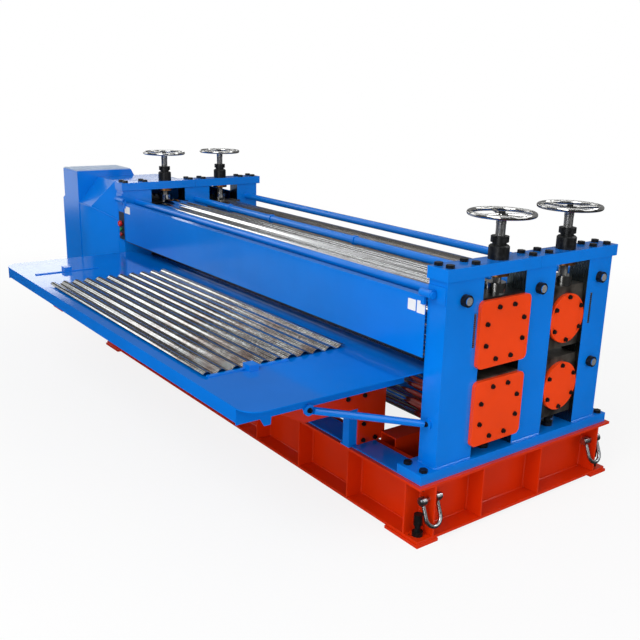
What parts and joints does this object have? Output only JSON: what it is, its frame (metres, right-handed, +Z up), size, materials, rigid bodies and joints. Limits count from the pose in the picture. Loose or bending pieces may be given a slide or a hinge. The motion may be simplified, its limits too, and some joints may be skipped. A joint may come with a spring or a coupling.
{
  "type": "corrugated sheet roll former",
  "caption": "Free-standing barrel-type roll former that corrugates flat sheet between geared rolls, with adjusting handwheels, a swing-up guard and an output table.",
  "frame": {"origin": "on the floor, at the centre of the rectangle of the four main anchor holes in the base's foot plates", "axes": "+X along the rolls towards the free end of the machine, away from the drive; +Y from the output table to the infeed side; +Z up"},
  "size_m": [5.0533, 2.245, 1.514],
  "materials": {
    "orange_paint": "gloss",
    "blue_paint": "gloss",
    "black_steel": "satin black",
    "bronze": "machined",
    "roll_steel": "ground and polished",
    "gear_steel": "machined",
    "cast_steel": "bare, oiled",
    "galvanised_sheet": "galvanised",
    "chromed_steel": "chromed",
    "zinc_steel": "zinc plated",
    "seal_rubber": "matte",
    "red_plastic": "gloss",
    "green_plastic": "gloss"
  },
  "bodies": {
    "frame": {"base_beams": "orange_paint", "base_cross_members": "orange_paint", "drive_base": "orange_paint", "foot_plates": "orange_paint", "lower_covers": "orange_paint", "table_brackets": "orange_paint", "bed_plates": "blue_paint", "bed_rails": "blue_paint", "near_columns": "blue_paint", "far_columns": "blue_paint", "column_caps": "blue_paint", "tie_rods": "blue_paint", "output_table": "blue_paint", "table_posts": "blue_paint", "table_struts": "blue_paint", "sheet_stops": "blue_paint", "guard_hinges": "blue_paint", "drive_housing": "blue_paint", "drive_cabinet": "blue_paint", "control_box": "blue_paint", "drive_gearmotor": "blue_paint", "frame_bolts": "black_steel", "tie_rod_nuts": "black_steel", "nut_blocks": "black_steel", "lock_rings": "black_steel", "lower_cover_bolts": "black_steel", "jack_screws": "black_steel", "levelling_bolts": "black_steel", "screw_nuts": "bronze", "gap_scales": "roll_steel", "lower_chocks": "cast_steel"},
    "front_carriage": {"front_upper_chocks": "black_steel", "front_upper_covers": "orange_paint", "front_cover_bolts": "black_steel"},
    "rear_carriage": {"rear_upper_chocks": "cast_steel", "rear_upper_covers": "orange_paint", "rear_cover_bolts": "black_steel"},
    "front_upper_rotor": {"front_upper_roll": "roll_steel", "front_upper_gear": "gear_steel"},
    "front_lower_rotor": {"front_lower_roll": "roll_steel", "front_lower_gear": "gear_steel"},
    "rear_upper_rotor": {"rear_upper_roll": "roll_steel", "rear_upper_gear": "gear_steel"},
    "rear_lower_rotor": {"rear_lower_roll": "roll_steel", "rear_lower_gear": "gear_steel"},
    "pinion": {"drive_pinion": "gear_steel"},
    "near_front_wheel": {"near_front_handwheel": "chromed_steel"},
    "near_rear_wheel": {"near_rear_handwheel": "chromed_steel"},
    "far_front_wheel": {"far_front_handwheel": "chromed_steel"},
    "far_rear_wheel": {"far_rear_handwheel": "chromed_steel"},
    "guard": {"front_guard": "blue_paint", "guard_seal": "seal_rubber"},
    "near_front_bow": {"near_front_shackle": "zinc_steel"},
    "near_rear_bow": {"near_rear_shackle": "zinc_steel"},
    "far_front_bow": {"far_front_shackle": "zinc_steel"},
    "far_rear_bow": {"far_rear_shackle": "zinc_steel"},
    "sheets": {"corrugated_sheets": "galvanised_sheet"},
    "emergency": {"emergency_button": "red_plastic"},
    "start": {"start_button": "green_plastic"},
    "stop": {"stop_button": "red_plastic"}
  },
  "joints": [
    {"name": "front_roll_lift", "type": "slide", "parent": "frame", "child": "front_carriage", "axis": [0, 0, 1], "range_m": [0, 0.028]},
    {"name": "rear_roll_lift", "type": "slide", "parent": "frame", "child": "rear_carriage", "axis": [0, 0, 1], "range_m": [0, 0.028]},
    {"name": "front_lower_roll_spin", "type": "hinge", "parent": "frame", "child": "front_lower_rotor", "pos_m": [0, -0.212, 0.574], "axis": [1, 0, 0], "continuous": true},
    {"name": "front_upper_roll_spin", "type": "hinge", "parent": "front_carriage", "child": "front_upper_rotor", "pos_m": [0, -0.212, 0.96256], "axis": [1, 0, 0], "continuous": true},
    {"name": "rear_lower_roll_spin", "type": "hinge", "parent": "frame", "child": "rear_lower_rotor", "pos_m": [0, 0.2805, 0.584], "axis": [1, 0, 0], "continuous": true},
    {"name": "rear_upper_roll_spin", "type": "hinge", "parent": "rear_carriage", "child": "rear_upper_rotor", "pos_m": [0, 0.2805, 0.9455], "axis": [1, 0, 0], "continuous": true},
    {"name": "pinion_spin", "type": "hinge", "parent": "frame", "child": "pinion", "pos_m": [-1.96, 0.04026, 0.57912], "axis": [1, 0, 0], "continuous": true},
    {"name": "near_front_handwheel_turn", "type": "hinge", "parent": "front_carriage", "child": "near_front_wheel", "pos_m": [1.717, -0.212, 1.503], "axis": [0, 0, 1], "range_deg": [0, 1260]},
    {"name": "near_rear_handwheel_turn", "type": "hinge", "parent": "rear_carriage", "child": "near_rear_wheel", "pos_m": [1.717, 0.2805, 1.503], "axis": [0, 0, 1], "range_deg": [0, 1260]},
    {"name": "far_front_handwheel_turn", "type": "hinge", "parent": "front_carriage", "child": "far_front_wheel", "pos_m": [-1.717, -0.212, 1.503], "axis": [0, 0, 1], "range_deg": [0, 1260]},
    {"name": "far_rear_handwheel_turn", "type": "hinge", "parent": "rear_carriage", "child": "far_rear_wheel", "pos_m": [-1.717, 0.2805, 1.503], "axis": [0, 0, 1], "range_deg": [0, 1260]},
    {"name": "guard_swing", "type": "hinge", "parent": "frame", "child": "guard", "pos_m": [0, -0.6145, 1.171], "axis": [-1, 0, 0], "range_deg": [0, 100]},
    {"name": "near_front_shackle_swing", "type": "hinge", "parent": "frame", "child": "near_front_bow", "pos_m": [1.773, -0.6095, 0.205], "axis": [0, -1, 0], "range_deg": [0, 125]},
    {"name": "near_rear_shackle_swing", "type": "hinge", "parent": "frame", "child": "near_rear_bow", "pos_m": [1.773, 0.6095, 0.205], "axis": [0, -1, 0], "range_deg": [0, 125]},
    {"name": "far_front_shackle_swing", "type": "hinge", "parent": "frame", "child": "far_front_bow", "pos_m": [-3.118, -0.5615, 0.205], "axis": [0, 1, 0], "range_deg": [0, 125]},
    {"name": "far_rear_shackle_swing", "type": "hinge", "parent": "frame", "child": "far_rear_bow", "pos_m": [-3.118, 0.4495, 0.205], "axis": [0, 1, 0], "range_deg": [0, 125]},
    {"name": "sheets_slide", "type": "slide", "parent": "frame", "child": "sheets", "axis": [0, -1, 0], "range_m": [0, 0.25]},
    {"name": "emergency_press", "type": "slide", "parent": "frame", "child": "emergency", "axis": [0, 1, 0], "range_m": [0, 0.005], "stiffness_N_per_m": 2500},
    {"name": "start_press", "type": "slide", "parent": "frame", "child": "start", "axis": [0, 1, 0], "range_m": [0, 0.004], "stiffness_N_per_m": 1200},
    {"name": "stop_press", "type": "slide", "parent": "frame", "child": "stop", "axis": [0, 1, 0], "range_m": [0, 0.004], "stiffness_N_per_m": 1200}
  ],
  "couplings": [
    {"joint": "front_upper_roll_spin", "follows": "front_lower_roll_spin", "ratio": -1},
    {"joint": "rear_lower_roll_spin", "follows": "front_lower_roll_spin", "ratio": 1.0667},
    {"joint": "rear_upper_roll_spin", "follows": "front_lower_roll_spin", "ratio": -1.0667},
    {"joint": "pinion_spin", "follows": "front_lower_roll_spin", "ratio": -3.2},
    {"joint": "near_front_handwheel_turn", "follows": "front_roll_lift", "rad_per_m": 785.4},
    {"joint": "near_rear_handwheel_turn", "follows": "rear_roll_lift", "rad_per_m": 785.4},
    {"joint": "far_front_handwheel_turn", "follows": "front_roll_lift", "rad_per_m": 785.4},
    {"joint": "far_rear_handwheel_turn", "follows": "rear_roll_lift", "rad_per_m": 785.4}
  ]
}
